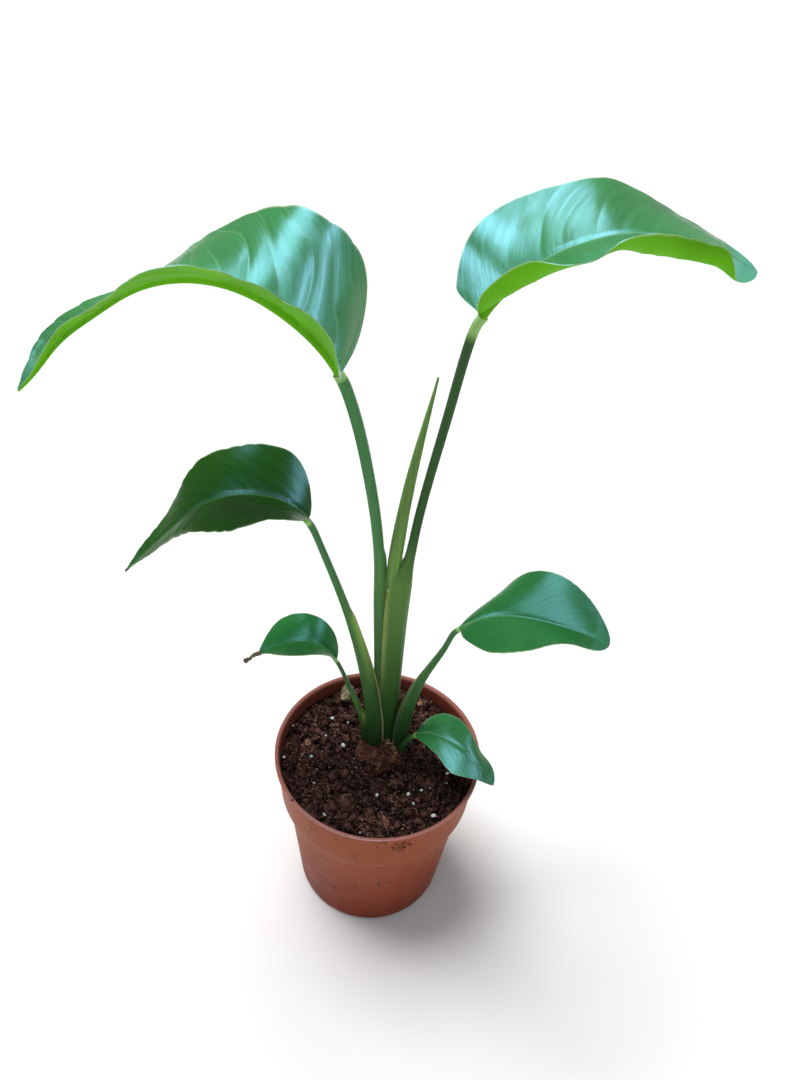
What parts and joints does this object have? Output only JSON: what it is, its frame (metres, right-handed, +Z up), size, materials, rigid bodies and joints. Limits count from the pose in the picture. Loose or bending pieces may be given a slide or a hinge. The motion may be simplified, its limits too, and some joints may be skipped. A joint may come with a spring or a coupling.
{
  "type": "potted bird of paradise plant",
  "caption": "Young foliage plant with broad arching paddle leaves on slender clasping stalks, standing in peat in a round tapered nursery pot with a wide collar and a drained floor.",
  "frame": {"origin": "centre of the pot's flat underside", "axes": "+Z up; the leaves fan out to -X and +X; -Y is the side the plant is seen from"},
  "size_m": [0.3767, 0.15, 0.5288],
  "materials": {
    "pot": "moulded, faint satin",
    "soil": "moist peat",
    "root": "dry fibre",
    "stalk": "smooth plant skin",
    "new_leaf": "smooth plant skin",
    "leaf": "waxy leaf"
  },
  "bodies": {
    "root": {"pot": "pot", "soil": "soil", "root_crown": "root", "spear": "new_leaf", "stalk_a": "stalk", "stalk_b": "stalk", "stalk_c": "stalk", "stalk_d": "stalk", "stalk_e": "stalk", "stalk_f": "stalk", "blade_a": "leaf", "blade_b": "leaf", "blade_c": "leaf", "blade_d": "leaf", "blade_e": "leaf", "blade_f": "leaf"}
  },
  "joints": []
}
